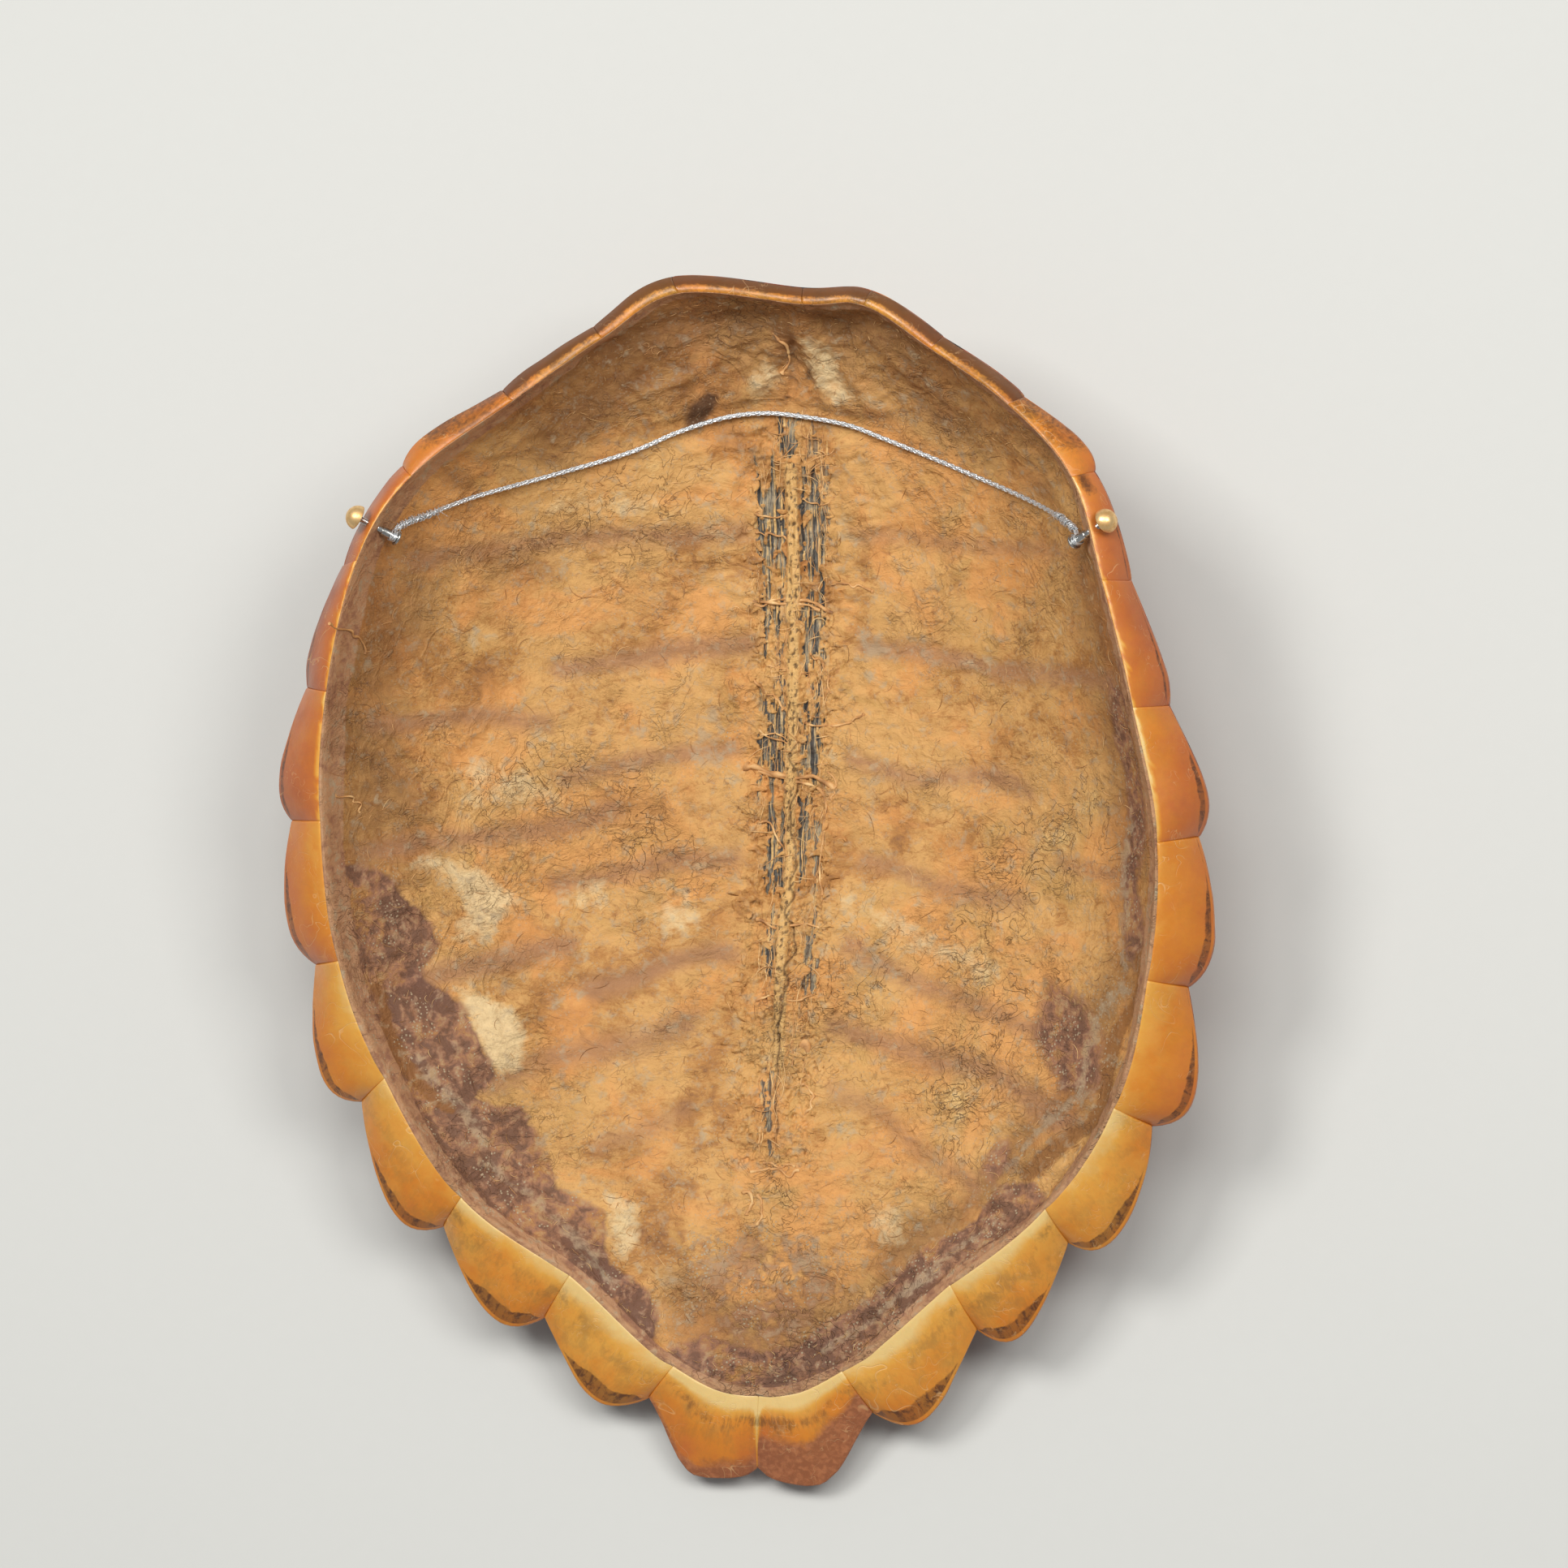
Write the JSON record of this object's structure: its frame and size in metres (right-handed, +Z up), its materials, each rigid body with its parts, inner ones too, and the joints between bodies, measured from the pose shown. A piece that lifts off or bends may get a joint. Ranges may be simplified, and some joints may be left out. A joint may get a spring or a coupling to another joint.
{
  "type": "sea turtle shell",
  "caption": "Sea turtle carapace lying on its dome with the hollow side up, drilled at the shoulders for capped screws and a hanging wire.",
  "frame": {"origin": "on the surface the shell rests on, under the middle of its box", "axes": "+Y towards the head end, -Y towards the tail tip, +X to the side of screw_right, +Z up out of the hollow"},
  "size_m": [0.5918, 0.7512, 0.1929],
  "materials": {
    "horn_and_bone": "dry tan fibrous membrane inside, satin amber keratin on the rim and the back",
    "steel": "polished",
    "brass": "satin",
    "wire": "bright braided strands"
  },
  "bodies": {
    "root": {"carapace": "horn_and_bone", "screw_left": "steel", "screw_right": "steel", "dome_cap_left": "brass", "dome_cap_right": "brass", "hanging_wire": "wire"}
  },
  "joints": []
}
